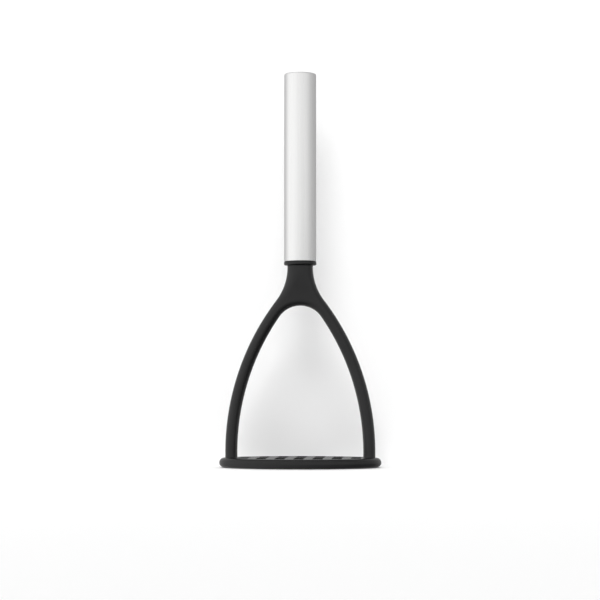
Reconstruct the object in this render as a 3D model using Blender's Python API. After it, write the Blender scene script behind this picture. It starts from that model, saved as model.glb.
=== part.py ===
"""Potato masher: a slotted oval plate under a two-armed yoke, with a round steel tube as handle.

Metres, +Z up. The origin is the middle of the plate's underside. X runs along the plate's
long way, Y along its short way, and the handle stands along +Z.
"""

import math

import bmesh
import bpy
from mathutils import Matrix

# Overall sizes
OVERALL_HEIGHT = 0.2700
PLATE_WIDTH = 0.1107
PLATE_DEPTH = 0.0760
PLATE_THICKNESS = 0.0064

# Slots through the plate: columns side by side along X, in one row on each side of a cross web
SLOT_COLUMNS = 7
SLOT_WIDTH = 0.0068
SLOT_CORNER_RADIUS = 0.0014
CROSS_WEB = 0.0060
RIM_LAND = 0.0030
FOOT_LAND = 0.0013

# Yoke: two oval arms that meet in an arch, a flat bridge over it, and a neck
ARM_WIDTH = 0.0083
ARM_DEPTH = 0.0124
ARM_INSET = 0.0082
ARM_STRAIGHT = 0.0040
ARCH_HEIGHT = 0.1103
ARCH_CROWN_RADIUS = 0.0173
ARCH_EDGE_RADIUS = 0.0036
NECK_WIDTH = 0.0175
NECK_DEPTH = 0.0164
NECK_STRAIGHT = 0.0010
NECK_ROUNDNESS = 2.4
NECK_CHAMFER = 0.0004
FLARE_RADIUS = 0.0375

# Joints between the pieces
SEAT_GAP = 0.0003
TENON_DIAMETER = 0.0050
TENON_RECESS = 0.0006
SPIGOT_DIAMETER = 0.0120
SPIGOT_LENGTH = 0.0350
ROD_DIAMETER = 0.0050
ROD_EMBED = 0.0160
ROD_OVERHANG = 0.0030

# Handle
COLLAR_PROUD = 0.00015
COLLAR_HEIGHT = 0.0023
COLLAR_EDGE_RADIUS = 0.0009
TUBE_DIAMETER = 0.0220
TUBE_WALL = 0.0010
TUBE_LIP = 0.0020
TUBE_EDGE_RADIUS = 0.0010
CAP_THICKNESS = 0.0012
CAP_SKIRT_DEPTH = 0.0060
INSERT_WEB = 0.0100
SEAL_SECTION = 0.0015
SEAL_OFFSET = 0.0050
WASHER_DIAMETER = 0.0130
WASHER_THICKNESS = 0.0008
WASHER_DISH = 0.0007
WASHER_BRIM = 0.0019
WASHER_TEETH = 6
WASHER_NOTCH_WIDTH = 0.0009
WASHER_NOTCH_REACH = 0.0043

# Fineness of the meshes
TURN_STEPS = 36
RIM_STEPS = 72
RIM_ARC_STEPS = 8
CORNER_STEPS = 3
BULLNOSE_STEPS = 4
SECTION_STEPS = 8
ARM_STEPS = 14
CROWN_STEPS = 7
EDGE_STEPS = 3
NECK_STEPS = 8

# Plate, worked out
RIM_RADIUS = PLATE_THICKNESS / 2
RIM_HALF_WIDTH = PLATE_WIDTH / 2 - RIM_RADIUS
RIM_HALF_DEPTH = PLATE_DEPTH / 2 - RIM_RADIUS
ARM_RADIUS = ARM_WIDTH / 2
ARM_BULGE = ARM_DEPTH / ARM_WIDTH
ARM_X = PLATE_WIDTH / 2 - ARM_INSET
SLOT_FIELD = 2 * (ARM_X - ARM_RADIUS - FOOT_LAND)
SLOT_PITCH = (SLOT_FIELD - SLOT_WIDTH) / (SLOT_COLUMNS - 1)

# Yoke, worked out. The arm is an arc that starts upright and touches the arch's crown circle
# from outside on its inner edge, and the neck's flare circle on its outer edge.
FOOT_Z = PLATE_THICKNESS + SEAT_GAP
BEND_Z = PLATE_THICKNESS + ARM_STRAIGHT
CROWN_Z = ARCH_HEIGHT - ARCH_CROWN_RADIUS
CROWN_RISE = CROWN_Z - BEND_Z
CROWN_REACH = ARM_RADIUS + ARCH_CROWN_RADIUS
BEND_RADIUS = (ARM_X**2 + CROWN_RISE**2 - CROWN_REACH**2) / (2 * (ARM_X - CROWN_REACH))
BEND_CENTRE = (ARM_X - BEND_RADIUS, BEND_Z)
INNER_BEND = BEND_RADIUS - ARM_RADIUS
OUTER_BEND = BEND_RADIUS + ARM_RADIUS
CROWN_ANGLE = math.asin(CROWN_RISE / (INNER_BEND - ARCH_CROWN_RADIUS))
NECK_HALF_WIDTH = NECK_WIDTH / 2
FLARE_X = NECK_HALF_WIDTH + FLARE_RADIUS
FLARE_ANGLE = math.acos((FLARE_X - BEND_CENTRE[0]) / (OUTER_BEND + FLARE_RADIUS))
FLARE_Z = BEND_Z + (OUTER_BEND + FLARE_RADIUS) * math.sin(FLARE_ANGLE)
NECK_TOP_Z = FLARE_Z + NECK_STRAIGHT
ARM_END_SHARE = 0.92
ARM_END_ANGLE = ARM_END_SHARE * min(CROWN_ANGLE, FLARE_ANGLE)

# Handle, worked out from the neck's top upwards
COLLAR_RADIUS = TUBE_DIAMETER / 2 + COLLAR_PROUD
COLLAR_Z = NECK_TOP_Z + SEAT_GAP
COLLAR_TOP_Z = COLLAR_Z + COLLAR_HEIGHT
TUBE_Z = COLLAR_TOP_Z + SEAT_GAP
TUBE_RADIUS = TUBE_DIAMETER / 2
TUBE_BORE_RADIUS = TUBE_RADIUS - TUBE_WALL
LIP_RADIUS = TUBE_RADIUS - TUBE_LIP
SPIGOT_RADIUS = SPIGOT_DIAMETER / 2
SPIGOT_TOP_Z = NECK_TOP_Z + SPIGOT_LENGTH
ROD_RADIUS = ROD_DIAMETER / 2
ROD_BORE_RADIUS = ROD_RADIUS + SEAT_GAP
ROD_Z = NECK_TOP_Z - ROD_EMBED
INSERT_TOP_Z = SPIGOT_TOP_Z + SEAT_GAP + INSERT_WEB
INSERT_RADIUS = TUBE_BORE_RADIUS - SEAT_GAP
WASHER_Z = INSERT_TOP_Z + SEAT_GAP
ROD_TOP_Z = WASHER_Z + WASHER_THICKNESS + WASHER_DISH + ROD_OVERHANG
SEAL_Z = TUBE_Z + SEAL_OFFSET
SEAL_RADIUS = INSERT_RADIUS - SEAL_SECTION / 2

# Materials: colour, roughness, metallic
MATERIALS = {
    "brushed_steel": ((0.62, 0.62, 0.61), 0.30, 1.0),
    "black_nylon": ((0.022, 0.022, 0.023), 0.45, 0.0),
    "insert_plastic": ((0.30, 0.30, 0.29), 0.60, 0.0),
    "zinc_steel": ((0.50, 0.51, 0.53), 0.38, 1.0),
    "seal_rubber": ((0.035, 0.035, 0.035), 0.75, 0.0),
}


def clear_scene():
    for old in list(bpy.data.objects):
        bpy.data.objects.remove(old, do_unlink=True)


def make_materials():
    made = {}
    for name, (colour, roughness, metallic) in MATERIALS.items():
        material = bpy.data.materials.new(name)
        material.use_nodes = True
        shader = material.node_tree.nodes["Principled BSDF"]
        shader.inputs["Base Color"].default_value = (*colour, 1.0)
        shader.inputs["Roughness"].default_value = roughness
        shader.inputs["Metallic"].default_value = metallic
        material.diffuse_color = (*colour, 1.0)
        made[name] = material
    return made


def add_object(name, bm, material=None):
    """A new object from a bmesh, shaded smooth except across its sharp edges."""
    mesh = bpy.data.meshes.new(name)
    bm.to_mesh(mesh)
    bm.free()
    mesh.shade_smooth()
    mesh.set_sharp_from_angle(angle=math.radians(35))
    if material:
        mesh.materials.append(material)
    made = bpy.data.objects.new(name, mesh)
    bpy.context.scene.collection.objects.link(made)
    return made


def add_turned(name, profile, material):
    """A closed outline of (radius, height) points, turned round the Z axis."""
    bm = bmesh.new()
    points = [bm.verts.new((radius, 0.0, height)) for radius, height in profile]
    edges = [bm.edges.new(pair) for pair in zip(points, points[1:] + points[:1])]
    on_axis = [edge for edge in edges if all(vert.co.x == 0.0 for vert in edge.verts)]
    turned = [edge for edge in edges if edge not in on_axis]
    bmesh.ops.spin(bm, geom=points + turned, cent=(0, 0, 0), axis=(0, 0, 1),
                   angle=math.tau, steps=TURN_STEPS, use_merge=True)
    bmesh.ops.delete(bm, geom=[edge for edge in bm.edges if not edge.link_faces], context="EDGES")
    bmesh.ops.remove_doubles(bm, verts=bm.verts, dist=1e-6)
    bmesh.ops.recalc_face_normals(bm, faces=bm.faces)
    return add_object(name, bm, material)


def arc_point(centre, radius, angle):
    return centre[0] + radius * math.cos(angle), centre[1] + radius * math.sin(angle)


def rounding(centre, radius, start, end, steps):
    """Points of an arc in an outline, angles in degrees."""
    angles = [math.radians(start + (end - start) * step / steps) for step in range(steps + 1)]
    return [arc_point(centre, radius, angle) for angle in angles]


def subtract(target, cutter):
    cutter.hide_render = True
    cutter.display_type = "WIRE"
    cut = target.modifiers.new(cutter.name, "BOOLEAN")
    cut.operation = "DIFFERENCE"
    cut.solver = "EXACT"
    cut.object = cutter


# Mashing plate


def rim_point(angle, reach):
    """A point of the oval that lies `reach` outside the rim's centreline."""
    x = RIM_HALF_WIDTH * math.cos(angle)
    y = RIM_HALF_DEPTH * math.sin(angle)
    normal_x = RIM_HALF_DEPTH * math.cos(angle)
    normal_y = RIM_HALF_WIDTH * math.sin(angle)
    length = math.hypot(normal_x, normal_y)
    return x + reach * normal_x / length, y + reach * normal_y / length


def plate_blank(material):
    """The oval plate with a fully rounded rim and no openings yet."""
    bm = bmesh.new()
    rings = []
    for step in range(RIM_ARC_STEPS + 1):
        tilt = math.pi * (step / RIM_ARC_STEPS - 0.5)
        height = RIM_RADIUS * (1 + math.sin(tilt))
        angles = [math.tau * turn / RIM_STEPS for turn in range(RIM_STEPS)]
        around = [rim_point(angle, RIM_RADIUS * math.cos(tilt)) for angle in angles]
        rings.append([bm.verts.new((x, y, height)) for x, y in around])
    for lower, upper in zip(rings, rings[1:]):
        for here in range(RIM_STEPS):
            after = (here + 1) % RIM_STEPS
            bm.faces.new((lower[here], lower[after], upper[after], upper[here]))
    bm.faces.new(reversed(rings[0]))
    bm.faces.new(rings[-1])
    return add_object("mashing_plate", bm, material)


def slot_outline(x, near, far):
    """A slot's outline with rounded corners, from y = near to y = far."""
    half = SLOT_WIDTH / 2 - SLOT_CORNER_RADIUS
    corners = (
        (x + half, far - SLOT_CORNER_RADIUS, 0),
        (x - half, far - SLOT_CORNER_RADIUS, 90),
        (x - half, near + SLOT_CORNER_RADIUS, 180),
        (x + half, near + SLOT_CORNER_RADIUS, 270),
    )
    outline = []
    for corner_x, corner_y, start in corners:
        outline += rounding((corner_x, corner_y), SLOT_CORNER_RADIUS, start, start + 90, CORNER_STEPS)
    return outline


def slot_end(x):
    """How far a slot at x reaches along Y, up to the rim's land."""
    outer_edge = abs(x) + SLOT_WIDTH / 2
    return RIM_HALF_DEPTH * math.sqrt(1 - (outer_edge / RIM_HALF_WIDTH) ** 2) - RIM_LAND


def add_prism(bm, outline):
    """A closed prism through the whole thickness of the plate."""
    low = -PLATE_THICKNESS
    rise = 3 * PLATE_THICKNESS
    face = bm.faces.new([bm.verts.new((x, y, low)) for x, y in outline])
    lifted = bmesh.ops.extrude_face_region(bm, geom=[face])["geom"]
    verts = [item for item in lifted if isinstance(item, bmesh.types.BMVert)]
    bmesh.ops.translate(bm, verts=verts, vec=(0, 0, rise))


def plate_cutter():
    """Every slot and both sockets for the arms' tenons, as one cutter."""
    bm = bmesh.new()
    for column in range(SLOT_COLUMNS):
        x = (column - (SLOT_COLUMNS - 1) / 2) * SLOT_PITCH
        near, far = CROSS_WEB / 2, slot_end(x)
        add_prism(bm, slot_outline(x, near, far))
        add_prism(bm, slot_outline(x, -far, -near))
    for side in (-1, 1):
        socket = rounding((side * ARM_X, 0.0), TENON_DIAMETER / 2 + SEAT_GAP, 0, 360, 2 * SECTION_STEPS)
        add_prism(bm, socket[:-1])
    bmesh.ops.recalc_face_normals(bm, faces=bm.faces)
    return add_object("plate_cutter", bm)


def add_mashing_plate(material):
    subtract(plate_blank(material), plate_cutter())


# Yoke. One quarter of its surface is a grid of rows, each from the arch side to the outer side,
# and the rows follow each other from the tenon's tip up to the bore in the spigot.


def arc(centre, radius, start, end):
    """An arc in the XZ plane: its length, and its points for a share of 0 to 1."""
    def point(share):
        return arc_point(centre, radius, start + (end - start) * share)
    return abs(end - start) * radius, point


def line(start, end):
    """A straight stretch in the XZ plane, described as an arc is."""
    def point(share):
        return start[0] + (end[0] - start[0]) * share, start[1] + (end[1] - start[1]) * share
    return math.dist(start, end), point


def walk(path, share):
    """The point at a share of the path's whole length."""
    left = share * sum(length for length, _ in path)
    for length, point in path[:-1]:
        if left < length:
            return point(left / length)
        left -= length
    length, point = path[-1]
    return point(min(left / length, 1.0))


def smooth_step(value, start, end):
    share = min(max((value - start) / (end - start), 0.0), 1.0)
    return share * share * (3 - 2 * share)


def arch_distance(x, z):
    """How far a point of the silhouette is from the opening between the arms."""
    if z <= BEND_Z:
        return x - (ARM_X - ARM_RADIUS)
    if math.atan2(z - BEND_Z, x - BEND_CENTRE[0]) < CROWN_ANGLE:
        return math.dist((x, z), BEND_CENTRE) - INNER_BEND
    return math.dist((x, z), (0.0, CROWN_Z)) - ARCH_CROWN_RADIUS


def outside_distance(x, z):
    """How far a point of the silhouette is from its outer edge."""
    if z <= BEND_Z:
        return ARM_X + ARM_RADIUS - x
    if z >= FLARE_Z:
        return NECK_HALF_WIDTH - x
    if math.atan2(z - BEND_Z, x - BEND_CENTRE[0]) < FLARE_ANGLE:
        return OUTER_BEND - math.dist((x, z), BEND_CENTRE)
    return math.dist((x, z), (FLARE_X, FLARE_Z)) - FLARE_RADIUS


def edge_roll(distance, radius, power):
    """The share of the full depth at a distance from an edge with this rounding."""
    inward = 1 - min(max(distance / radius, 0.0), 1.0)
    return (1 - inward**power) ** (1 / power)


def half_depth(x, z):
    """Half the yoke's thickness along Y: oval arms, a flat bridge and a rounded neck."""
    crown_share = smooth_step(z, CROWN_Z, ARCH_HEIGHT)
    neck_share = smooth_step(z, ARCH_HEIGHT, FLARE_Z)
    depth = (ARM_DEPTH + (NECK_DEPTH - ARM_DEPTH) * neck_share) / 2
    arch_edge = ARM_RADIUS + (ARCH_EDGE_RADIUS - ARM_RADIUS) * crown_share
    outer_edge = ARM_RADIUS + (NECK_HALF_WIDTH - ARM_RADIUS) * neck_share
    power = 2 + (NECK_ROUNDNESS - 2) * neck_share
    arch_roll = edge_roll(arch_distance(x, z), arch_edge, 2)
    return depth * arch_roll * edge_roll(outside_distance(x, z), outer_edge, power)


def span_row(inner, outer):
    """A row of the surface between two points of the silhouette, closer together at its ends."""
    row = []
    for step in range(SECTION_STEPS + 1):
        share = (1 - math.cos(math.pi * step / SECTION_STEPS)) / 2
        x = inner[0] + (outer[0] - inner[0]) * share
        z = inner[1] + (outer[1] - inner[1]) * share
        on_arch = step == 0 and (inner[0] > 0 or inner[1] == ARCH_HEIGHT)
        on_edge = on_arch or step == SECTION_STEPS
        row.append((x, 0.0 if on_edge else half_depth(x, z), z))
    return row


def foot_row(radius, z, bulge=1.0):
    """A half circle or half oval round the arm's axis, from its inner side to its outer side."""
    angles = [math.pi * step / SECTION_STEPS for step in range(SECTION_STEPS + 1)]
    points = [(ARM_X - radius * math.cos(a), bulge * radius * math.sin(a), z) for a in angles]
    return [(ARM_X - radius, 0.0, z)] + points[1:-1] + [(ARM_X + radius, 0.0, z)]


def neck_row(radius, z):
    """A quarter circle round the handle's axis, from the front to the side."""
    angles = [math.pi / 2 * step / SECTION_STEPS for step in range(SECTION_STEPS + 1)]
    points = [(radius * math.sin(a), radius * math.cos(a), z) for a in angles]
    return [(0.0, radius, z)] + points[1:-1] + [(radius, 0.0, z)]


def arm_rows():
    rows = []
    for step in range(ARM_STEPS + 1):
        angle = ARM_END_ANGLE * step / ARM_STEPS
        inner = arc_point(BEND_CENTRE, INNER_BEND, angle)
        outer = arc_point(BEND_CENTRE, OUTER_BEND, angle)
        rows.append(span_row(inner, outer))
    return rows


def head_rows():
    """The rows over the arch's crown and up the bridge to the neck's top."""
    to_crown = [
        arc(BEND_CENTRE, INNER_BEND, ARM_END_ANGLE, CROWN_ANGLE),
        arc((0.0, CROWN_Z), ARCH_CROWN_RADIUS, CROWN_ANGLE, math.pi / 2),
    ]
    rim_z = NECK_TOP_Z - NECK_CHAMFER
    outside = [
        arc(BEND_CENTRE, OUTER_BEND, ARM_END_ANGLE, FLARE_ANGLE),
        arc((FLARE_X, FLARE_Z), FLARE_RADIUS, math.pi + FLARE_ANGLE, math.pi),
        line((NECK_HALF_WIDTH, FLARE_Z), (NECK_HALF_WIDTH, rim_z)),
    ]
    crown_length = sum(length for length, _ in to_crown)
    rise = rim_z - ARCH_HEIGHT
    whole = crown_length + rise
    rows = []
    for step in range(1, CROWN_STEPS):
        share = step / CROWN_STEPS
        rows.append(span_row(walk(to_crown, share), walk(outside, share * crown_length / whole)))
    heights = [ARCH_EDGE_RADIUS * (1 - math.cos(math.pi / 2 * step / EDGE_STEPS))
               for step in range(EDGE_STEPS)]
    upright = rise - ARCH_EDGE_RADIUS
    heights += [ARCH_EDGE_RADIUS + upright * step / NECK_STEPS for step in range(NECK_STEPS + 1)]
    for height in heights:
        middle = (0.0, ARCH_HEIGHT + height)
        rows.append(span_row(middle, walk(outside, (crown_length + height) / whole)))
    return rows


def shrunk_row(row, inset, z):
    """The last row of the neck, drawn in all round by the chamfer."""
    scale = 1 - inset / NECK_HALF_WIDTH
    return [(x * scale, y * scale, z) for x, y, _ in row]


def yoke_rows():
    rows = [[(ARM_X, 0.0, TENON_RECESS)]]
    rows.append(foot_row(TENON_DIAMETER / 2, TENON_RECESS))
    rows.append(foot_row(TENON_DIAMETER / 2, FOOT_Z))
    rows.append(foot_row(ARM_RADIUS, FOOT_Z, ARM_BULGE))
    rows += arm_rows()
    rows += head_rows()
    rows.append(shrunk_row(rows[-1], NECK_CHAMFER, NECK_TOP_Z))
    rows.append(neck_row(SPIGOT_RADIUS, NECK_TOP_Z))
    rows.append(neck_row(SPIGOT_RADIUS, SPIGOT_TOP_Z))
    rows.append(neck_row(ROD_BORE_RADIUS, SPIGOT_TOP_Z))
    rows.append(neck_row(ROD_BORE_RADIUS, ROD_Z - SEAT_GAP))
    rows.append([(0.0, 0.0, ROD_Z - SEAT_GAP)])
    return rows


def add_head_yoke(material):
    bm = bmesh.new()
    rows = [[bm.verts.new(point) for point in row] for row in yoke_rows()]
    for lower, upper in zip(rows, rows[1:]):
        for step in range(SECTION_STEPS):
            left = [row[min(step, len(row) - 1)] for row in (lower, upper)]
            right = [row[min(step + 1, len(row) - 1)] for row in (upper, lower)]
            bm.faces.new(dict.fromkeys(left + right))
    yoke = add_object("head_yoke", bm, material)
    mirror = yoke.modifiers.new("four_quarters", "MIRROR")
    mirror.use_axis = (True, True, False)
    mirror.merge_threshold = 1e-6


# Handle


def add_collar_ring(material):
    bore = SPIGOT_RADIUS + SEAT_GAP
    edge = COLLAR_RADIUS - COLLAR_EDGE_RADIUS
    low = COLLAR_Z + COLLAR_EDGE_RADIUS
    high = COLLAR_TOP_Z - COLLAR_EDGE_RADIUS
    profile = [(bore, COLLAR_Z)]
    profile += rounding((edge, low), COLLAR_EDGE_RADIUS, -90, 0, BULLNOSE_STEPS)
    profile += rounding((edge, high), COLLAR_EDGE_RADIUS, 0, 90, BULLNOSE_STEPS)
    profile += [(bore, COLLAR_TOP_Z)]
    add_turned("collar_ring", profile, material)


def add_handle_tube(material):
    """A thin tube whose top is turned in to a lip round the end cap."""
    round_centre = (TUBE_RADIUS - TUBE_EDGE_RADIUS, OVERALL_HEIGHT - TUBE_EDGE_RADIUS)
    profile = [(TUBE_BORE_RADIUS, TUBE_Z), (TUBE_RADIUS, TUBE_Z)]
    profile += rounding(round_centre, TUBE_EDGE_RADIUS, 0, 90, BULLNOSE_STEPS)
    profile += [
        (LIP_RADIUS, OVERALL_HEIGHT),
        (LIP_RADIUS, OVERALL_HEIGHT - TUBE_WALL),
        (TUBE_BORE_RADIUS, OVERALL_HEIGHT - TUBE_WALL),
    ]
    add_turned("handle_tube", profile, material)


def add_handle_end_cap(material):
    """A drawn cup: its face fills the lip, and its skirt fits the tube's bore."""
    face = LIP_RADIUS - SEAT_GAP
    skirt = TUBE_BORE_RADIUS - SEAT_GAP
    inside = skirt - CAP_THICKNESS
    shoulder = OVERALL_HEIGHT - TUBE_WALL - SEAT_GAP
    ceiling = shoulder - CAP_THICKNESS
    profile = [
        (0.0, ceiling),
        (inside, ceiling),
        (inside, shoulder - CAP_SKIRT_DEPTH),
        (skirt, shoulder - CAP_SKIRT_DEPTH),
        (skirt, shoulder),
        (face, shoulder),
        (face, OVERALL_HEIGHT),
        (0.0, OVERALL_HEIGHT),
    ]
    add_turned("handle_end_cap", profile, material)


def add_handle_insert(material):
    """The plug in the tube: a bore for the spigot, a web for the rod, a groove for the seal."""
    bore = SPIGOT_RADIUS + SEAT_GAP
    bore_top = SPIGOT_TOP_Z + SEAT_GAP
    groove = SEAL_SECTION / 2 + SEAT_GAP
    groove_floor = SEAL_RADIUS - groove
    profile = [
        (bore, TUBE_Z),
        (INSERT_RADIUS, TUBE_Z),
        (INSERT_RADIUS, SEAL_Z - groove),
        (groove_floor, SEAL_Z - groove),
        (groove_floor, SEAL_Z + groove),
        (INSERT_RADIUS, SEAL_Z + groove),
        (INSERT_RADIUS, INSERT_TOP_Z),
        (ROD_BORE_RADIUS, INSERT_TOP_Z),
        (ROD_BORE_RADIUS, bore_top),
        (bore, bore_top),
    ]
    add_turned("handle_insert", profile, material)


def add_handle_seal(material):
    section = rounding((SEAL_RADIUS, SEAL_Z), SEAL_SECTION / 2, 0, 360, 2 * BULLNOSE_STEPS)
    add_turned("handle_seal", section[:-1], material)


def add_tang_rod(material):
    tip = ROD_RADIUS / 4
    profile = [
        (0.0, ROD_Z),
        (ROD_RADIUS - tip, ROD_Z),
        (ROD_RADIUS, ROD_Z + tip),
        (ROD_RADIUS, ROD_TOP_Z - tip),
        (ROD_RADIUS - tip, ROD_TOP_Z),
        (0.0, ROD_TOP_Z),
    ]
    add_turned("tang_rod", profile, material)


def washer_cutter():
    """Radial notches that leave the washer's teeth between them."""
    bm = bmesh.new()
    pairs = WASHER_TEETH // 2
    tall = 8 * WASHER_THICKNESS
    for pair in range(pairs):
        bar = bmesh.ops.create_cube(bm, size=1.0)["verts"]
        bmesh.ops.scale(bm, verts=bar, vec=(2 * WASHER_NOTCH_REACH, WASHER_NOTCH_WIDTH, tall))
        turn = Matrix.Rotation(math.pi * pair / pairs, 3, "Z")
        bmesh.ops.rotate(bm, verts=bar, cent=(0, 0, 0), matrix=turn)
        bmesh.ops.translate(bm, verts=bar, vec=(0, 0, WASHER_Z))
    return add_object("washer_cutter", bm)


def add_lock_washer(material):
    """A dished washer whose teeth grip the rod above the insert."""
    edge = WASHER_DIAMETER / 2
    brim = edge - WASHER_BRIM
    bore = ROD_BORE_RADIUS
    top = WASHER_Z + WASHER_THICKNESS
    profile = [
        (brim, WASHER_Z),
        (edge, WASHER_Z),
        (edge, top),
        (brim, top),
        (bore, top + WASHER_DISH),
        (bore, WASHER_Z + WASHER_DISH),
    ]
    washer = add_turned("rod_lock_washer", profile, material)
    subtract(washer, washer_cutter())


def main():
    clear_scene()
    materials = make_materials()
    add_mashing_plate(materials["black_nylon"])
    add_head_yoke(materials["black_nylon"])
    add_collar_ring(materials["black_nylon"])
    add_handle_tube(materials["brushed_steel"])
    add_handle_end_cap(materials["brushed_steel"])
    add_handle_insert(materials["insert_plastic"])
    add_handle_seal(materials["seal_rubber"])
    add_tang_rod(materials["zinc_steel"])
    add_lock_washer(materials["zinc_steel"])


main()
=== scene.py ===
import math

import bmesh
import bpy
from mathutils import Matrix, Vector


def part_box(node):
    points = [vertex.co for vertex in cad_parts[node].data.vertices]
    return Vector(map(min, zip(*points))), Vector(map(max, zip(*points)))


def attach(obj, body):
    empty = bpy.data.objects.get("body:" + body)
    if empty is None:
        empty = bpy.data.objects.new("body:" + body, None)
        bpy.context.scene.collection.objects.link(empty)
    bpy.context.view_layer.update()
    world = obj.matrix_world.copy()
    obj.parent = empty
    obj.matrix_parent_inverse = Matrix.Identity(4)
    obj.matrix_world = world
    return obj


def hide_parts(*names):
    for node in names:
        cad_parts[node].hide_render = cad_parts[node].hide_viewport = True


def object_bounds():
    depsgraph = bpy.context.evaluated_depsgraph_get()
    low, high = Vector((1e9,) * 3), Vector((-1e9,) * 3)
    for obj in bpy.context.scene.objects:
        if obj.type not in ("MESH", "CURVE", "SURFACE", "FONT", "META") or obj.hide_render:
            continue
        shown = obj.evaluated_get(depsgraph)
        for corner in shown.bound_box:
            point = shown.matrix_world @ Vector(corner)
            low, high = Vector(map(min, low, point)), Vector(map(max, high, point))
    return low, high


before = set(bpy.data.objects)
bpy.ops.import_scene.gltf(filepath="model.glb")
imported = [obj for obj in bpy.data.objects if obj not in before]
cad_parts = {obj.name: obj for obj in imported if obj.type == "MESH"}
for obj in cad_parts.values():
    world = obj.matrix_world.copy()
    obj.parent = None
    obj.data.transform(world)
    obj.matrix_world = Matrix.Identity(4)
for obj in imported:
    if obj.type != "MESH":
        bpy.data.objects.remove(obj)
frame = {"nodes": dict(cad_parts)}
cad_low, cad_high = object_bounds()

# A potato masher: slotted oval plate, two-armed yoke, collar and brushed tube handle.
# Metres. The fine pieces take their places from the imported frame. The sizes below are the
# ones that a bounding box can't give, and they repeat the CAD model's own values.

# Plate
SLOT_COLUMNS = 7
SLOT_WIDTH = 0.0068
SLOT_CORNER_RADIUS = 0.0014
SLOT_EDGE_RADIUS = 0.0002
CROSS_WEB = 0.0060
RIM_LAND = 0.0030
FOOT_LAND = 0.0013

# Yoke
ARM_WIDTH = 0.0083
ARM_DEPTH = 0.0124
ARM_STRAIGHT = 0.0040
ARCH_HEIGHT = 0.1103
ARCH_CROWN_RADIUS = 0.0173
ARCH_EDGE_RADIUS = 0.0036
NECK_WIDTH = 0.0175
NECK_DEPTH = 0.0164
NECK_ROUNDNESS = 2.4
NECK_EDGE = 0.0004
FLARE_RADIUS = 0.0375
ARM_END_SHARE = 0.92
FOOT_FILLET = 0.0005
SEAT_GAP = 0.0003
TENON_DIAMETER = 0.0050
SPIGOT_DIAMETER = 0.0120

# Handle
COLLAR_EDGE_RADIUS = 0.0009
TUBE_WALL = 0.0010
TUBE_LIP = 0.0020
TUBE_EDGE_RADIUS = 0.0010
TUBE_FOOT_RADIUS = 0.0003
LIP_EDGE = 0.0002
CAP_SKIRT = 0.0015
CAP_JOINT = 0.00008

# Fineness of the meshes: steps, the angle that stays sharp, and what counts as one point
TURN_STEPS = 144
RIM_STEPS = 240
RIM_ARC_STEPS = 24
CORNER_STEPS = 8
FILLET_STEPS = 8
TIP_STEPS = 4
SOCKET_STEPS = 48
TUBE_FOOT_STEPS = 6
TUBE_EDGE_STEPS = 12
SECTION_STEPS = 24
ARM_STEPS = 96
CROWN_STEPS = 40
ARCH_EDGE_STEPS = 10
NECK_STEPS = 44
SLOT_EDGE_STEPS = 4
SHARP_ANGLE = 40
SLOT_EDGE_ANGLE = 60
PROFILE_MERGE = 1e-7
MIRROR_MERGE = 1e-6

# What the frame gives
PLATE_LOW, PLATE_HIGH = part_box("mashing_plate")
YOKE_LOW, YOKE_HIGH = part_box("head_yoke")
COLLAR_LOW, COLLAR_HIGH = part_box("collar_ring")
TUBE_LOW, TUBE_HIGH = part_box("handle_tube")
CAP_LOW, CAP_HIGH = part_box("handle_end_cap")

PLATE_TOP = PLATE_HIGH.z
RIM_RADIUS = (PLATE_HIGH.z - PLATE_LOW.z) / 2
RIM_HALF_WIDTH = PLATE_HIGH.x - RIM_RADIUS
RIM_HALF_DEPTH = PLATE_HIGH.y - RIM_RADIUS
ARM_RADIUS = ARM_WIDTH / 2
ARM_BULGE = ARM_DEPTH / ARM_WIDTH
ARM_X = YOKE_HIGH.x - ARM_RADIUS
SLOT_FIELD = 2 * (ARM_X - ARM_RADIUS - FOOT_LAND)
SLOT_PITCH = (SLOT_FIELD - SLOT_WIDTH) / (SLOT_COLUMNS - 1)

# The yoke's outline: the arm is an arc that starts upright, touches the crown circle with its
# inner edge and the flare circle with its outer edge.
BEND_Z = PLATE_TOP + ARM_STRAIGHT
CROWN_Z = ARCH_HEIGHT - ARCH_CROWN_RADIUS
CROWN_RISE = CROWN_Z - BEND_Z
CROWN_REACH = ARM_RADIUS + ARCH_CROWN_RADIUS
BEND_RADIUS = (ARM_X**2 + CROWN_RISE**2 - CROWN_REACH**2) / (2 * (ARM_X - CROWN_REACH))
BEND_CENTRE = (ARM_X - BEND_RADIUS, BEND_Z)
INNER_BEND = BEND_RADIUS - ARM_RADIUS
OUTER_BEND = BEND_RADIUS + ARM_RADIUS
CROWN_ANGLE = math.asin(CROWN_RISE / (INNER_BEND - ARCH_CROWN_RADIUS))
NECK_HALF_WIDTH = NECK_WIDTH / 2
FLARE_X = NECK_HALF_WIDTH + FLARE_RADIUS
FLARE_ANGLE = math.acos((FLARE_X - BEND_CENTRE[0]) / (OUTER_BEND + FLARE_RADIUS))
FLARE_Z = BEND_Z + (OUTER_BEND + FLARE_RADIUS) * math.sin(FLARE_ANGLE)
NECK_TOP = COLLAR_LOW.z
ARM_END_ANGLE = ARM_END_SHARE * min(CROWN_ANGLE, FLARE_ANGLE)

# Camera
CAMERA_PLACE = (0.0670, -1.3000, 0.0518)
CAMERA_TARGET = (-0.00013, 0.0, 0.1142)
CAMERA_LENS = 114.1
SENSOR_WIDTH = 36.0

# Light
# The soft light's strength at each angle round the object, in degrees from the front to the right
LIGHT_ROUND = (
    (-180, 0.44),
    (-120, 0.66),
    (-88, 1.22),
    (-50, 1.20),
    (-20, 1.08),
    (10, 0.98),
    (50, 0.92),
    (65, 0.82),
    (80, 0.64),
    (112, 0.53),
    (180, 0.44),
)
LIGHT_ABOVE = 0.80
LIGHT_BELOW_LEFT = 0.90
LIGHT_BELOW_RIGHT = 0.30
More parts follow.
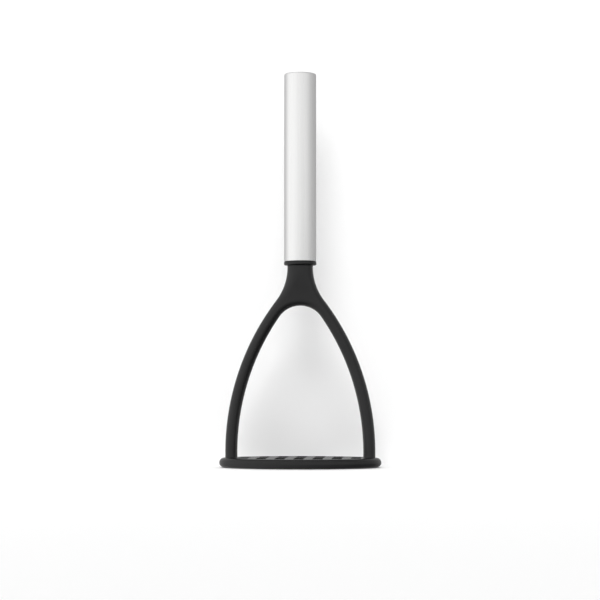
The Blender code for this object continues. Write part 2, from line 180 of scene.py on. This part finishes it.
# The heights of a direction, from -1 to 1, at which the light starts to fall off above and
# reaches its full loss below
FALL_FROM = 0.2
LOSS_FULL_AT = -0.4
KEY_PLACE = (-0.16, -1.30, 1.60)
KEY_SPREAD = 27
KEY_STRENGTH = 1.35

# Paper under and behind the object
FLOOR_WHITE = 0.97
WALL_WHITE = 0.88
FLOOR_SHEEN = 0.5
WALL_SHEEN = 0.0
PAPER_ROUGHNESS = 0.55
FLOOR_GAP = 0.0002
FLOOR_REACH = 4.0
WALL_GAP = 0.007
WALL_HALF_WIDTH = 0.7
WALL_TOP = 0.9


# Shared helpers


def add_piece(name, bm, material, node):
    """A fine piece that stands for a CAD node, shaded smooth except across sharp edges."""
    mesh = bpy.data.meshes.new(name)
    bm.to_mesh(mesh)
    bm.free()
    mesh.shade_smooth()
    mesh.set_sharp_from_angle(angle=math.radians(SHARP_ANGLE))
    mesh.materials.append(material)
    piece = bpy.data.objects.new(name, mesh)
    bpy.context.scene.collection.objects.link(piece)
    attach(piece, "root")
    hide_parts(node)
    return piece


def arc_point(centre, radius, angle):
    return centre[0] + radius * math.cos(angle), centre[1] + radius * math.sin(angle)


def rounding(centre, radius, start, end, steps):
    """Points of an arc in an outline, angles in degrees."""
    angles = [math.radians(start + (end - start) * step / steps) for step in range(steps + 1)]
    return [arc_point(centre, radius, angle) for angle in angles]


def turned(profile):
    """A bmesh of an outline of (radius, height) points turned round the Z axis.

    The outline runs from one end on or near the axis to the other. An end on the axis closes
    to a point.
    """
    bm = bmesh.new()
    rings = []
    for radius, height in profile:
        if radius == 0.0:
            rings.append([bm.verts.new((0.0, 0.0, height))])
            continue
        turn = [math.tau * step / TURN_STEPS for step in range(TURN_STEPS)]
        rings.append([bm.verts.new((radius * math.cos(a), radius * math.sin(a), height)) for a in turn])
    for inner, outer in zip(rings, rings[1:]):
        for step in range(TURN_STEPS):
            after = (step + 1) % TURN_STEPS
            corners = [inner[step % len(inner)], inner[after % len(inner)],
                       outer[after % len(outer)], outer[step % len(outer)]]
            bm.faces.new(list(dict.fromkeys(corners)))
    bmesh.ops.recalc_face_normals(bm, faces=bm.faces)
    return bm


# Materials


def new_material(name):
    material = bpy.data.materials.new(name)
    material.use_nodes = True
    nodes = material.node_tree.nodes
    return material, nodes, material.node_tree.links, nodes["Principled BSDF"]


def add_noise(nodes, links, scale, detail, stretch=(1.0, 1.0, 1.0)):
    """A noise over the object's own coordinates, stretched by scaling them."""
    coords = nodes.new("ShaderNodeTexCoord")
    mapping = nodes.new("ShaderNodeMapping")
    mapping.inputs["Scale"].default_value = stretch
    noise = nodes.new("ShaderNodeTexNoise")
    noise.inputs["Scale"].default_value = scale
    noise.inputs["Detail"].default_value = detail
    links.new(coords.outputs["Object"], mapping.inputs["Vector"])
    links.new(mapping.outputs["Vector"], noise.inputs["Vector"])
    return noise.outputs["Fac"]


def spread(nodes, links, value, low, high):
    """Noise, which stays near 0.5, spread over a range."""
    ranged = nodes.new("ShaderNodeMapRange")
    ranged.inputs["From Min"].default_value = 0.3
    ranged.inputs["From Max"].default_value = 0.7
    ranged.inputs["To Min"].default_value = low
    ranged.inputs["To Max"].default_value = high
    links.new(value, ranged.inputs["Value"])
    return ranged.outputs["Result"]


def tint(nodes, links, value, dark, light):
    mixed = nodes.new("ShaderNodeMix")
    mixed.data_type = "RGBA"
    mixed.inputs["A"].default_value = (*dark, 1.0)
    mixed.inputs["B"].default_value = (*light, 1.0)
    links.new(value, mixed.inputs["Factor"])
    return mixed.outputs["Result"]


def bump(nodes, links, height, distance, strength):
    raised = nodes.new("ShaderNodeBump")
    raised.inputs["Distance"].default_value = distance
    raised.inputs["Strength"].default_value = strength
    links.new(height, raised.inputs["Height"])
    return raised.outputs["Normal"]


def nylon_material():
    """Near-black moulded nylon with a fine satin grain."""
    material, nodes, links, shader = new_material("satin_black_nylon")
    clouds = spread(nodes, links, add_noise(nodes, links, 60, 3), 0.0, 1.0)
    grain = add_noise(nodes, links, 2600, 2)
    shader.inputs["Specular IOR Level"].default_value = 0.38
    links.new(tint(nodes, links, clouds, (0.0034, 0.0034, 0.0036), (0.0050, 0.0050, 0.0052)),
              shader.inputs["Base Color"])
    links.new(spread(nodes, links, add_noise(nodes, links, 420, 4), 0.21, 0.27),
              shader.inputs["Roughness"])
    links.new(bump(nodes, links, grain, 0.00002, 0.35), shader.inputs["Normal"])
    return material


def steel_material():
    """Stainless steel brushed along the tube, so reflections spread round it."""
    material, nodes, links, shader = new_material("brushed_stainless")
    shader.inputs["Metallic"].default_value = 1.0
    shader.inputs["Anisotropic"].default_value = 0.6
    lines = add_noise(nodes, links, 1.0, 4, (2600, 2600, 22))
    broad = add_noise(nodes, links, 1.0, 2, (420, 420, 7))
    links.new(tint(nodes, links, spread(nodes, links, broad, 0.0, 1.0),
                   (0.800, 0.800, 0.796), (0.835, 0.835, 0.831)), shader.inputs["Base Color"])
    links.new(spread(nodes, links, lines, 0.26, 0.34), shader.inputs["Roughness"])
    links.new(bump(nodes, links, lines, 0.000008, 0.5), shader.inputs["Normal"])
    tangent = nodes.new("ShaderNodeTangent")
    tangent.direction_type = "RADIAL"
    tangent.axis = "Z"
    links.new(tangent.outputs["Tangent"], shader.inputs["Tangent"])
    return material


def hidden_material(name, dark, light, roughness, metallic, grain_scale, grain_height):
    """Plain finishes of the pieces inside the handle."""
    material, nodes, links, shader = new_material(name)
    shader.inputs["Metallic"].default_value = metallic
    clouds = spread(nodes, links, add_noise(nodes, links, 180, 3), 0.0, 1.0)
    grain = add_noise(nodes, links, grain_scale, 3)
    links.new(tint(nodes, links, clouds, dark, light), shader.inputs["Base Color"])
    links.new(spread(nodes, links, grain, roughness - 0.05, roughness + 0.05),
              shader.inputs["Roughness"])
    links.new(bump(nodes, links, grain, grain_height, 0.4), shader.inputs["Normal"])
    return material


# Mashing plate


def rim_point(angle, reach):
    """A point of the oval that lies `reach` outside the rim's centreline."""
    x = RIM_HALF_WIDTH * math.cos(angle)
    y = RIM_HALF_DEPTH * math.sin(angle)
    normal_x = RIM_HALF_DEPTH * math.cos(angle)
    normal_y = RIM_HALF_WIDTH * math.sin(angle)
    length = math.hypot(normal_x, normal_y)
    return x + reach * normal_x / length, y + reach * normal_y / length


def plate_blank():
    """The oval plate with a fully rounded rim and no openings yet."""
    bm = bmesh.new()
    rings = []
    for step in range(RIM_ARC_STEPS + 1):
        tilt = math.pi * (step / RIM_ARC_STEPS - 0.5)
        height = PLATE_LOW.z + RIM_RADIUS * (1 + math.sin(tilt))
        angles = [math.tau * turn / RIM_STEPS for turn in range(RIM_STEPS)]
        around = [rim_point(angle, RIM_RADIUS * math.cos(tilt)) for angle in angles]
        rings.append([bm.verts.new((x, y, height)) for x, y in around])
    for lower, upper in zip(rings, rings[1:]):
        for here in range(RIM_STEPS):
            after = (here + 1) % RIM_STEPS
            bm.faces.new((lower[here], lower[after], upper[after], upper[here]))
    bm.faces.new(reversed(rings[0]))
    bm.faces.new(rings[-1])
    return bm


def slot_end(x):
    """How far a slot at x reaches along Y, up to the rim's land."""
    outer_edge = abs(x) + SLOT_WIDTH / 2
    return RIM_HALF_DEPTH * math.sqrt(1 - (outer_edge / RIM_HALF_WIDTH) ** 2) - RIM_LAND


def slot_outline(x, near, far):
    """A slot's outline with rounded corners, from y = near to y = far."""
    half = SLOT_WIDTH / 2 - SLOT_CORNER_RADIUS
    corners = (
        (x + half, far - SLOT_CORNER_RADIUS, 0),
        (x - half, far - SLOT_CORNER_RADIUS, 90),
        (x - half, near + SLOT_CORNER_RADIUS, 180),
        (x + half, near + SLOT_CORNER_RADIUS, 270),
    )
    outline = []
    for corner_x, corner_y, start in corners:
        outline += rounding((corner_x, corner_y), SLOT_CORNER_RADIUS, start, start + 90, CORNER_STEPS)
    return outline


def add_prism(bm, outline):
    """A closed prism through the whole thickness of the plate."""
    low = PLATE_LOW.z - RIM_RADIUS
    face = bm.faces.new([bm.verts.new((x, y, low)) for x, y in outline])
    lifted = bmesh.ops.extrude_face_region(bm, geom=[face])["geom"]
    verts = [item for item in lifted if isinstance(item, bmesh.types.BMVert)]
    bmesh.ops.translate(bm, verts=verts, vec=(0, 0, 4 * RIM_RADIUS))


def plate_cutter():
    """Every slot and both tenon sockets, as one cutter that isn't rendered."""
    bm = bmesh.new()
    for column in range(SLOT_COLUMNS):
        x = (column - (SLOT_COLUMNS - 1) / 2) * SLOT_PITCH
        near, far = CROSS_WEB / 2, slot_end(x)
        add_prism(bm, slot_outline(x, near, far))
        add_prism(bm, slot_outline(x, -far, -near))
    for side in (-1, 1):
        radius = TENON_DIAMETER / 2 + SEAT_GAP
        socket = rounding((side * ARM_X, 0.0), radius, 0, 360, SOCKET_STEPS)
        add_prism(bm, socket[:-1])
    bmesh.ops.recalc_face_normals(bm, faces=bm.faces)
    mesh = bpy.data.meshes.new("plate_cutter")
    bm.to_mesh(mesh)
    bm.free()
    cutter = bpy.data.objects.new("plate_cutter", mesh)
    bpy.context.scene.collection.objects.link(cutter)
    return cutter


def apply_modifiers(piece):
    """Puts the evaluated mesh in place of the base mesh and its modifiers."""
    graph = bpy.context.evaluated_depsgraph_get()
    evaluated = bpy.data.meshes.new_from_object(piece.evaluated_get(graph))
    piece.modifiers.clear()
    piece.data = evaluated


def add_plate(material):
    plate = add_piece("plate_skin", plate_blank(), material, "mashing_plate")
    cutter = plate_cutter()
    cut = plate.modifiers.new("slots", "BOOLEAN")
    cut.operation = "DIFFERENCE"
    cut.solver = "EXACT"
    cut.object = cutter
    apply_modifiers(plate)
    bpy.data.objects.remove(cutter)
    edge = plate.modifiers.new("slot_edges", "BEVEL")
    edge.width = SLOT_EDGE_RADIUS
    edge.segments = SLOT_EDGE_STEPS
    edge.limit_method = "ANGLE"
    edge.angle_limit = math.radians(SLOT_EDGE_ANGLE)
    edge.harden_normals = True
    apply_modifiers(plate)


# Yoke. One quarter of its surface is a grid of rows, each from the arch side to the outer side.


def arc(centre, radius, start, end):
    """An arc in the XZ plane: its length, and its points for a share of 0 to 1."""
    def point(share):
        return arc_point(centre, radius, start + (end - start) * share)
    return abs(end - start) * radius, point


def line(start, end):
    """A straight stretch in the XZ plane, described as an arc is."""
    def point(share):
        return start[0] + (end[0] - start[0]) * share, start[1] + (end[1] - start[1]) * share
    return math.dist(start, end), point


def walk(path, share):
    """The point at a share of the path's whole length."""
    left = share * sum(length for length, _ in path)
    for length, point in path[:-1]:
        if left < length:
            return point(left / length)
        left -= length
    length, point = path[-1]
    return point(min(left / length, 1.0))


def smooth_step(value, start, end):
    share = min(max((value - start) / (end - start), 0.0), 1.0)
    return share * share * (3 - 2 * share)


def arch_distance(x, z):
    """How far a point of the silhouette is from the opening between the arms."""
    if z <= BEND_Z:
        return x - (ARM_X - ARM_RADIUS)
    if math.atan2(z - BEND_Z, x - BEND_CENTRE[0]) < CROWN_ANGLE:
        return math.dist((x, z), BEND_CENTRE) - INNER_BEND
    return math.dist((x, z), (0.0, CROWN_Z)) - ARCH_CROWN_RADIUS


def outside_distance(x, z):
    """How far a point of the silhouette is from its outer edge."""
    if z <= BEND_Z:
        return ARM_X + ARM_RADIUS - x
    if z >= FLARE_Z:
        return NECK_HALF_WIDTH - x
    if math.atan2(z - BEND_Z, x - BEND_CENTRE[0]) < FLARE_ANGLE:
        return OUTER_BEND - math.dist((x, z), BEND_CENTRE)
    return math.dist((x, z), (FLARE_X, FLARE_Z)) - FLARE_RADIUS


def edge_roll(distance, radius, power):
    """The share of the full depth at a distance from an edge with this rounding."""
    inward = 1 - min(max(distance / radius, 0.0), 1.0)
    return (1 - inward**power) ** (1 / power)


def half_depth(x, z):
    """Half the yoke's thickness along Y: oval arms, a flat bridge and a rounded neck."""
    crown_share = smooth_step(z, CROWN_Z, ARCH_HEIGHT)
    neck_share = smooth_step(z, ARCH_HEIGHT, FLARE_Z)
    depth = (ARM_DEPTH + (NECK_DEPTH - ARM_DEPTH) * neck_share) / 2
    arch_edge = ARM_RADIUS + (ARCH_EDGE_RADIUS - ARM_RADIUS) * crown_share
    outer_edge = ARM_RADIUS + (NECK_HALF_WIDTH - ARM_RADIUS) * neck_share
    power = 2 + (NECK_ROUNDNESS - 2) * neck_share
    arch_roll = edge_roll(arch_distance(x, z), arch_edge, 2)
    return depth * arch_roll * edge_roll(outside_distance(x, z), outer_edge, power)


def span_row(inner, outer):
    """A row of the surface between two points of the silhouette, closer together at its ends."""
    row = []
    for step in range(SECTION_STEPS + 1):
        share = (1 - math.cos(math.pi * step / SECTION_STEPS)) / 2
        x = inner[0] + (outer[0] - inner[0]) * share
        z = inner[1] + (outer[1] - inner[1]) * share
        on_arch = step == 0 and (inner[0] > 0 or inner[1] == ARCH_HEIGHT)
        on_edge = on_arch or step == SECTION_STEPS
        row.append((x, 0.0 if on_edge else half_depth(x, z), z))
    return row


def foot_row(radius, z, bulge=1.0):
    """A half oval round the arm's axis, from its inner side to its outer side."""
    angles = [math.pi * step / SECTION_STEPS for step in range(1, SECTION_STEPS)]
    points = [(ARM_X - radius * math.cos(a), bulge * radius * math.sin(a), z) for a in angles]
    return [(ARM_X - radius, 0.0, z)] + points + [(ARM_X + radius, 0.0, z)]


def neck_row(radius, z):
    """A quarter circle round the handle's axis, from the front to the side."""
    angles = [math.pi / 2 * step / SECTION_STEPS for step in range(1, SECTION_STEPS)]
    points = [(radius * math.sin(a), radius * math.cos(a), z) for a in angles]
    return [(0.0, radius, z)] + points + [(radius, 0.0, z)]


def foot_rows():
    """The tenon in the plate's socket, and the arm's foot, sunk a little, with a small fillet."""
    tenon = TENON_DIAMETER / 2
    low = YOKE_LOW.z
    rows = [[(ARM_X, 0.0, low)]]
    tip = (tenon - SEAT_GAP, low + SEAT_GAP)
    for radius, height in rounding(tip, SEAT_GAP, -90, 0, TIP_STEPS):
        rows.append(foot_row(radius, height))
    rows.append(foot_row(tenon, PLATE_TOP - SEAT_GAP))
    edge = ARM_RADIUS + FOOT_FILLET
    rows.append(foot_row(edge, PLATE_TOP - SEAT_GAP, ARM_BULGE))
    fillet = (edge, PLATE_TOP + FOOT_FILLET)
    for radius, height in rounding(fillet, FOOT_FILLET, 270, 180, FILLET_STEPS):
        rows.append(foot_row(radius, height, ARM_BULGE))
    return rows


def arm_rows():
    rows = []
    for step in range(ARM_STEPS + 1):
        angle = ARM_END_ANGLE * step / ARM_STEPS
        inner = arc_point(BEND_CENTRE, INNER_BEND, angle)
        outer = arc_point(BEND_CENTRE, OUTER_BEND, angle)
        rows.append(span_row(inner, outer))
    return rows


def head_rows():
    """The rows over the arch's crown and up the bridge to the neck's top edge."""
    to_crown = [
        arc(BEND_CENTRE, INNER_BEND, ARM_END_ANGLE, CROWN_ANGLE),
        arc((0.0, CROWN_Z), ARCH_CROWN_RADIUS, CROWN_ANGLE, math.pi / 2),
    ]
    rim_z = NECK_TOP - NECK_EDGE
    outside = [
        arc(BEND_CENTRE, OUTER_BEND, ARM_END_ANGLE, FLARE_ANGLE),
        arc((FLARE_X, FLARE_Z), FLARE_RADIUS, math.pi + FLARE_ANGLE, math.pi),
        line((NECK_HALF_WIDTH, FLARE_Z), (NECK_HALF_WIDTH, rim_z)),
    ]
    crown_length = sum(length for length, _ in to_crown)
    rise = rim_z - ARCH_HEIGHT
    whole = crown_length + rise
    rows = []
    for step in range(1, CROWN_STEPS):
        share = step / CROWN_STEPS
        rows.append(span_row(walk(to_crown, share), walk(outside, share * crown_length / whole)))
    heights = [ARCH_EDGE_RADIUS * (1 - math.cos(math.pi / 2 * step / ARCH_EDGE_STEPS))
               for step in range(ARCH_EDGE_STEPS)]
    upright = rise - ARCH_EDGE_RADIUS
    heights += [ARCH_EDGE_RADIUS + upright * step / NECK_STEPS for step in range(NECK_STEPS + 1)]
    for height in heights:
        middle = (0.0, ARCH_HEIGHT + height)
        rows.append(span_row(middle, walk(outside, (crown_length + height) / whole)))
    return rows


def neck_top_rows(last):
    """The rounded top edge of the neck, and the spigot that goes up into the handle."""
    rows = []
    for inset, lift in rounding((NECK_EDGE, 0.0), NECK_EDGE, 180, 90, TIP_STEPS)[1:]:
        scale = 1 - inset / NECK_HALF_WIDTH
        rows.append([(x * scale, y * scale, z + lift) for x, y, z in last])
    rows.append(neck_row(SPIGOT_DIAMETER / 2, NECK_TOP))
    rows.append(neck_row(SPIGOT_DIAMETER / 2, YOKE_HIGH.z))
    rows.append([(0.0, 0.0, YOKE_HIGH.z)])
    return rows


def add_yoke(material):
    rows = foot_rows() + arm_rows() + head_rows()
    rows += neck_top_rows(rows[-1])
    bm = bmesh.new()
    grid = [[bm.verts.new(point) for point in row] for row in rows]
    for lower, upper in zip(grid, grid[1:]):
        for step in range(SECTION_STEPS):
            left = [row[min(step, len(row) - 1)] for row in (lower, upper)]
            right = [row[min(step + 1, len(row) - 1)] for row in (upper, lower)]
            bm.faces.new(list(dict.fromkeys(left + right)))
    yoke = add_piece("yoke_skin", bm, material, "head_yoke")
    mirror = yoke.modifiers.new("four_quarters", "MIRROR")
    mirror.use_axis = (True, True, False)
    mirror.merge_threshold = MIRROR_MERGE
    apply_modifiers(yoke)


# Handle


def add_collar(material):
    """The ring, drawn up to the tube, where the CAD model keeps its clearance."""
    bore = SPIGOT_DIAMETER / 2 + SEAT_GAP
    edge = COLLAR_HIGH.x - COLLAR_EDGE_RADIUS
    low, high = COLLAR_LOW.z, TUBE_LOW.z
    profile = [(bore, low)]
    profile += rounding((edge, low + COLLAR_EDGE_RADIUS), COLLAR_EDGE_RADIUS, -90, 0, FILLET_STEPS)
    profile += rounding((edge, high - COLLAR_EDGE_RADIUS), COLLAR_EDGE_RADIUS, 0, 90, FILLET_STEPS)
    profile += [(bore, high), (bore, low)]
    bm = turned(profile)
    bmesh.ops.remove_doubles(bm, verts=bm.verts, dist=PROFILE_MERGE)
    add_piece("collar_skin", bm, material, "collar_ring")


def add_tube(material):
    """The tube, with its top turned in to a lip."""
    outer = TUBE_HIGH.x
    bore = outer - TUBE_WALL
    top, low = TUBE_HIGH.z, TUBE_LOW.z
    profile = [(bore, low), (outer - TUBE_FOOT_RADIUS, low)]
    foot = (outer - TUBE_FOOT_RADIUS, low + TUBE_FOOT_RADIUS)
    profile += rounding(foot, TUBE_FOOT_RADIUS, -90, 0, TUBE_FOOT_STEPS)[1:]
    crown = (outer - TUBE_EDGE_RADIUS, top - TUBE_EDGE_RADIUS)
    profile += rounding(crown, TUBE_EDGE_RADIUS, 0, 90, TUBE_EDGE_STEPS)
    lip = outer - TUBE_LIP
    profile += [
        (lip + LIP_EDGE, top),
        (lip, top - LIP_EDGE),
        (lip, top - TUBE_WALL),
        (bore, top - TUBE_WALL),
        (bore, low),
    ]
    bm = turned(profile)
    bmesh.ops.remove_doubles(bm, verts=bm.verts, dist=PROFILE_MERGE)
    add_piece("tube_skin", bm, material, "handle_tube")


def add_end_cap(material):
    """The cap's face, set in the tube's lip with a hairline joint round it."""
    face = TUBE_HIGH.x - TUBE_LIP - CAP_JOINT
    top = CAP_HIGH.z
    skirt = CAP_HIGH.x
    shoulder = top - TUBE_WALL - SEAT_GAP
    profile = [
        (0.0, shoulder - CAP_SKIRT),
        (skirt, shoulder - CAP_SKIRT),
        (skirt, shoulder),
        (face, shoulder),
        (face, top - LIP_EDGE),
        (face - LIP_EDGE, top),
        (0.0, top),
    ]
    add_piece("end_cap_skin", turned(profile), material, "handle_end_cap")


# Studio


def add_plane(name, corners, material):
    mesh = bpy.data.meshes.new(name)
    mesh.from_pydata(corners, [], [range(len(corners))])
    mesh.materials.append(material)
    plane = bpy.data.objects.new(name, mesh)
    bpy.context.scene.collection.objects.link(plane)
    plane.visible_glossy = False
    return plane


def paper_material(name, white, sheen, one_sided=False):
    """Matt white paper. One-sided paper is clear from behind."""
    material, nodes, links, shader = new_material(name)
    shader.inputs["Base Color"].default_value = (white, white, white, 1.0)
    shader.inputs["Roughness"].default_value = PAPER_ROUGHNESS
    shader.inputs["Specular IOR Level"].default_value = sheen
    if one_sided:
        clear = nodes.new("ShaderNodeBsdfTransparent")
        mix = nodes.new("ShaderNodeMixShader")
        side = nodes.new("ShaderNodeNewGeometry")
        links.new(side.outputs["Backfacing"], mix.inputs["Fac"])
        links.new(shader.outputs["BSDF"], mix.inputs[1])
        links.new(clear.outputs["BSDF"], mix.inputs[2])
        links.new(mix.outputs["Shader"], nodes["Material Output"].inputs["Surface"])
    return material


def add_studio():
    """A floor under the object, and a backdrop close behind it that casts no shadow."""
    low = cad_low.z - FLOOR_GAP
    reach = FLOOR_REACH
    floor = [(-reach, -reach, low), (reach, -reach, low), (reach, reach, low), (-reach, reach, low)]
    add_plane("floor", floor, paper_material("floor_paper", FLOOR_WHITE, FLOOR_SHEEN))
    side, back, top = WALL_HALF_WIDTH, cad_high.y + WALL_GAP, WALL_TOP
    upright = [(-side, back, low), (side, back, low), (side, back, top), (-side, back, top)]
    paper = paper_material("backdrop_paper", WALL_WHITE, WALL_SHEEN, one_sided=True)
    wall = add_plane("backdrop", upright, paper)
    wall.visible_shadow = False


def add_math(nodes, links, operation, first, second):
    """A math node of a socket and a socket or a number."""
    node = nodes.new("ShaderNodeMath")
    node.operation = operation
    links.new(first, node.inputs[0])
    if isinstance(second, float):
        node.inputs[1].default_value = second
    else:
        links.new(second, node.inputs[1])
    return node.outputs["Value"]


def light_round(nodes, links, east, north):
    """The strength of the soft light at a direction's angle round the object."""
    south = add_math(nodes, links, "MULTIPLY", north, -1.0)
    angle = add_math(nodes, links, "ARCTAN2", east, south)
    turn = add_math(nodes, links, "DIVIDE", angle, math.tau)
    share = add_math(nodes, links, "ADD", turn, 0.5)
    ramp = nodes.new("ShaderNodeValToRGB")
    ramp.color_ramp.interpolation = "B_SPLINE"
    stops = ramp.color_ramp.elements
    while len(stops) < len(LIGHT_ROUND):
        stops.new(0.5)
    brightest = max(light for _, light in LIGHT_ROUND)
    for stop, (degrees, light) in zip(stops, LIGHT_ROUND):
        grey = light / brightest
        stop.position = degrees / 360 + 0.5
        stop.color = (grey, grey, grey, 1.0)
    links.new(share, ramp.inputs["Fac"])
    return add_math(nodes, links, "MULTIPLY", ramp.outputs["Color"], brightest)


def add_world():
    """Soft light from all round, brightest from the left, and weaker overhead.

    The camera sees plain white where it looks past the paper.
    """
    world = bpy.data.worlds.new("studio_light")
    bpy.context.scene.world = world
    world.use_nodes = True
    nodes, links = world.node_tree.nodes, world.node_tree.links
    seen = nodes["Background"]
    seen.inputs["Color"].default_value = (1.0, 1.0, 1.0, 1.0)
    coords = nodes.new("ShaderNodeTexCoord")
    split = nodes.new("ShaderNodeSeparateXYZ")
    above = nodes.new("ShaderNodeMapRange")
    above.inputs["From Min"].default_value = FALL_FROM
    above.inputs["To Min"].default_value = 1.0
    above.inputs["To Max"].default_value = LIGHT_ABOVE
    below = nodes.new("ShaderNodeMapRange")
    below.inputs["From Min"].default_value = LOSS_FULL_AT
    below.inputs["From Max"].default_value = 0.0
    below.inputs["To Min"].default_value = 1.0
    below.inputs["To Max"].default_value = 0.0
    loss = nodes.new("ShaderNodeMapRange")
    loss.inputs["From Min"].default_value = -1.0
    loss.inputs["To Min"].default_value = 1 - LIGHT_BELOW_LEFT
    loss.inputs["To Max"].default_value = 1 - LIGHT_BELOW_RIGHT
    glow = nodes.new("ShaderNodeBackground")
    path = nodes.new("ShaderNodeLightPath")
    mix = nodes.new("ShaderNodeMixShader")
    links.new(coords.outputs["Generated"], split.inputs["Vector"])
    links.new(split.outputs["Z"], above.inputs["Value"])
    links.new(split.outputs["Z"], below.inputs["Value"])
    links.new(split.outputs["X"], loss.inputs["Value"])
    lost = add_math(nodes, links, "MULTIPLY", below.outputs["Result"], loss.outputs["Result"])
    strength = add_math(nodes, links, "SUBTRACT", above.outputs["Result"], lost)
    glow.inputs["Color"].default_value = (1.0, 1.0, 1.0, 1.0)
    around = light_round(nodes, links, split.outputs["X"], split.outputs["Y"])
    links.new(add_math(nodes, links, "MULTIPLY", strength, around), glow.inputs["Strength"])
    links.new(path.outputs["Is Camera Ray"], mix.inputs["Fac"])
    links.new(glow.outputs["Background"], mix.inputs[1])
    links.new(seen.outputs["Background"], mix.inputs[2])
    links.new(mix.outputs["Shader"], nodes["World Output"].inputs["Surface"])


def add_key():
    """One broad light from above and in front, as even on the paper as a far softbox."""
    data = bpy.data.lights.new("key", "SUN")
    data.angle = math.radians(KEY_SPREAD)
    data.energy = KEY_STRENGTH
    key = bpy.data.objects.new("key", data)
    key.location = KEY_PLACE
    aim = Vector(CAMERA_TARGET) - Vector(KEY_PLACE)
    key.rotation_euler = aim.to_track_quat("-Z", "Y").to_euler()
    key.visible_glossy = False
    bpy.context.scene.collection.objects.link(key)


def add_camera():
    data = bpy.data.cameras.new("camera")
    data.lens = CAMERA_LENS
    data.sensor_width = SENSOR_WIDTH
    camera = bpy.data.objects.new("camera", data)
    camera.location = CAMERA_PLACE
    aim = Vector(CAMERA_TARGET) - Vector(CAMERA_PLACE)
    camera.rotation_euler = aim.to_track_quat("-Z", "Y").to_euler()
    bpy.context.scene.collection.objects.link(camera)
    bpy.context.scene.camera = camera


def finish_inner_pieces():
    nodes = frame["nodes"]
    grey = hidden_material(
        "insert_grey", (0.27, 0.27, 0.26), (0.32, 0.32, 0.31),
        roughness=0.60, metallic=0.0, grain_scale=1500, grain_height=0.00003,
    )
    zinc = hidden_material(
        "zinc_plate", (0.46, 0.47, 0.50), (0.54, 0.55, 0.57),
        roughness=0.38, metallic=1.0, grain_scale=900, grain_height=0.00001,
    )
    rubber = hidden_material(
        "black_rubber", (0.03, 0.03, 0.03), (0.042, 0.042, 0.042),
        roughness=0.75, metallic=0.0, grain_scale=2500, grain_height=0.00002,
    )
    for node, material in (
        ("handle_insert", grey),
        ("tang_rod", zinc),
        ("rod_lock_washer", zinc),
        ("handle_seal", rubber),
    ):
        nodes[node].material_slots[0].material = material


bpy.context.scene.view_settings.view_transform = "Standard"
nylon = nylon_material()
steel = steel_material()
add_plate(nylon)
add_yoke(nylon)
add_collar(nylon)
add_tube(steel)
add_end_cap(steel)
finish_inner_pieces()
add_studio()
add_world()
add_key()
add_camera()
